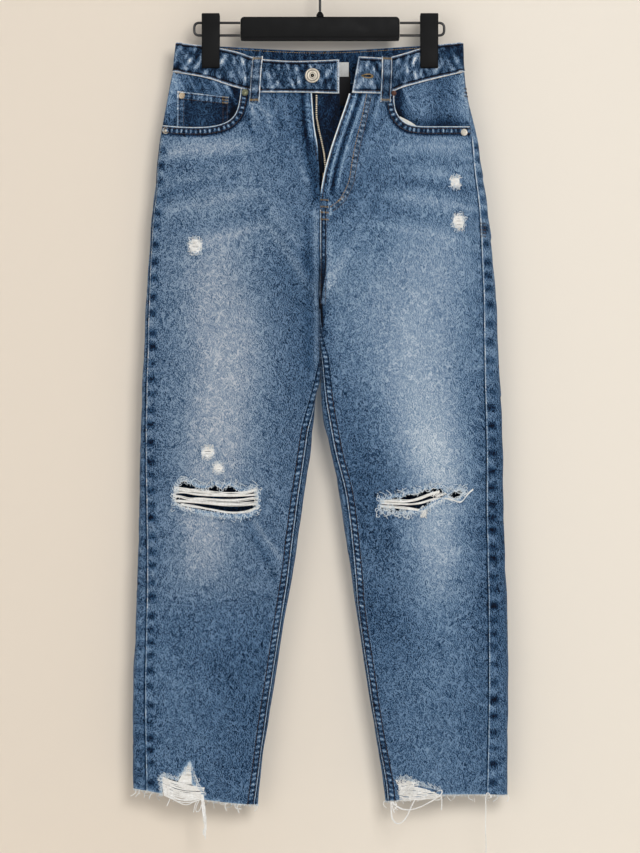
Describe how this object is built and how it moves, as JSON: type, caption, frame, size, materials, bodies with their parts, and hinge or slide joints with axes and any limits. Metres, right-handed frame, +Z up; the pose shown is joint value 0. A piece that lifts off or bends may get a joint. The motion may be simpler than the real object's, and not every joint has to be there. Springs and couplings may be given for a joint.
{
  "type": "ripped jeans on a clip hanger",
  "caption": "Straight-leg ripped denim jeans, fly open and cuffless frayed hems, hung by the waistband from a wire-hook clip hanger with a flat bar.",
  "frame": {"origin": "inside top of the hanger's hook, where the rail carries it", "axes": "+Z up, the garment's front faces -Y, the wearer's right side is at -X"},
  "size_m": [0.469, 0.0687, 1.1451],
  "materials": {
    "back_left": "woven denim, worn",
    "back_pocket_left": "woven denim, worn",
    "back_pocket_right": "woven denim, worn",
    "back_right": "woven denim, worn",
    "belt_loop_back_left": "woven denim, worn",
    "belt_loop_back_right": "woven denim, worn",
    "belt_loop_centre_back": "woven denim, worn",
    "belt_loop_front_left": "woven denim, worn",
    "belt_loop_front_right": "woven denim, worn",
    "clip_core_left": "black moulded plastic",
    "clip_core_right": "black moulded plastic",
    "clip_jaw_back_left": "black moulded plastic",
    "clip_jaw_back_right": "black moulded plastic",
    "clip_jaw_front_left": "black moulded plastic",
    "clip_jaw_front_right": "black moulded plastic",
    "coin_pocket": "woven denim, worn",
    "facing_left": "woven denim, unworn",
    "facing_right": "woven denim, unworn",
    "fly_shield": "woven denim, unworn",
    "front_left": "woven denim, worn",
    "front_right": "woven denim, worn",
    "hanger_bar": "black moulded plastic",
    "hanger_ferrule": "black moulded plastic",
    "hanger_hook": "black coated steel wire",
    "hanger_wire_left": "black coated steel wire",
    "hanger_wire_right": "black coated steel wire",
    "hem_fray_left": "loose threads",
    "hem_fray_right": "loose threads",
    "inner_label": "woven label",
    "knee_threads_left": "loose threads",
    "knee_threads_right": "loose threads",
    "loose_thread_left": "loose thread",
    "pocket_bag_left": "plain cotton",
    "rivet_coin": "worn copper",
    "rivet_left_fly": "worn copper",
    "rivet_left_side": "worn copper",
    "rivet_right_fly": "worn copper",
    "rivet_right_side": "worn copper",
    "size_label": "woven label",
    "waist_button": "pale worn metal",
    "waistband": "woven denim, worn",
    "yoke_left": "woven denim, worn",
    "yoke_right": "woven denim, worn",
    "zip_chain_closed": "antique brass",
    "zip_chain_left": "antique brass",
    "zip_chain_right": "antique brass",
    "zip_pull": "antique brass",
    "zip_slider": "antique brass",
    "zip_tape_left": "woven denim, unworn",
    "zip_tape_right": "woven denim, unworn"
  },
  "bodies": {
    "root": {"back_left": "back_left", "back_pocket_left": "back_pocket_left", "back_pocket_right": "back_pocket_right", "back_right": "back_right", "belt_loop_back_left": "belt_loop_back_left", "belt_loop_back_right": "belt_loop_back_right", "belt_loop_centre_back": "belt_loop_centre_back", "belt_loop_front_left": "belt_loop_front_left", "belt_loop_front_right": "belt_loop_front_right", "clip_core_left": "clip_core_left", "clip_core_right": "clip_core_right", "clip_jaw_back_left": "clip_jaw_back_left", "clip_jaw_back_right": "clip_jaw_back_right", "clip_jaw_front_left": "clip_jaw_front_left", "clip_jaw_front_right": "clip_jaw_front_right", "coin_pocket": "coin_pocket", "facing_left": "facing_left", "facing_right": "facing_right", "fly_shield": "fly_shield", "front_left": "front_left", "front_right": "front_right", "hanger_bar": "hanger_bar", "hanger_ferrule": "hanger_ferrule", "hanger_hook": "hanger_hook", "hanger_wire_left": "hanger_wire_left", "hanger_wire_right": "hanger_wire_right", "hem_fray_left": "hem_fray_left", "hem_fray_right": "hem_fray_right", "inner_label": "inner_label", "knee_threads_left": "knee_threads_left", "knee_threads_right": "knee_threads_right", "loose_thread_left": "loose_thread_left", "pocket_bag_left": "pocket_bag_left", "rivet_coin": "rivet_coin", "rivet_left_fly": "rivet_left_fly", "rivet_left_side": "rivet_left_side", "rivet_right_fly": "rivet_right_fly", "rivet_right_side": "rivet_right_side", "size_label": "size_label", "waist_button": "waist_button", "waistband": "waistband", "yoke_left": "yoke_left", "yoke_right": "yoke_right", "zip_chain_closed": "zip_chain_closed", "zip_chain_left": "zip_chain_left", "zip_chain_right": "zip_chain_right", "zip_slider": "zip_slider", "zip_tape_left": "zip_tape_left", "zip_tape_right": "zip_tape_right"},
    "pull_tab": {"zip_pull": "zip_pull"}
  },
  "joints": [
    {"name": "zip_pull_swing", "type": "hinge", "parent": "root", "child": "pull_tab", "pos_m": [0.00805, -0.02511, -0.2821], "axis": [-1, 0, 0], "range_deg": [0, 25]}
  ]
}
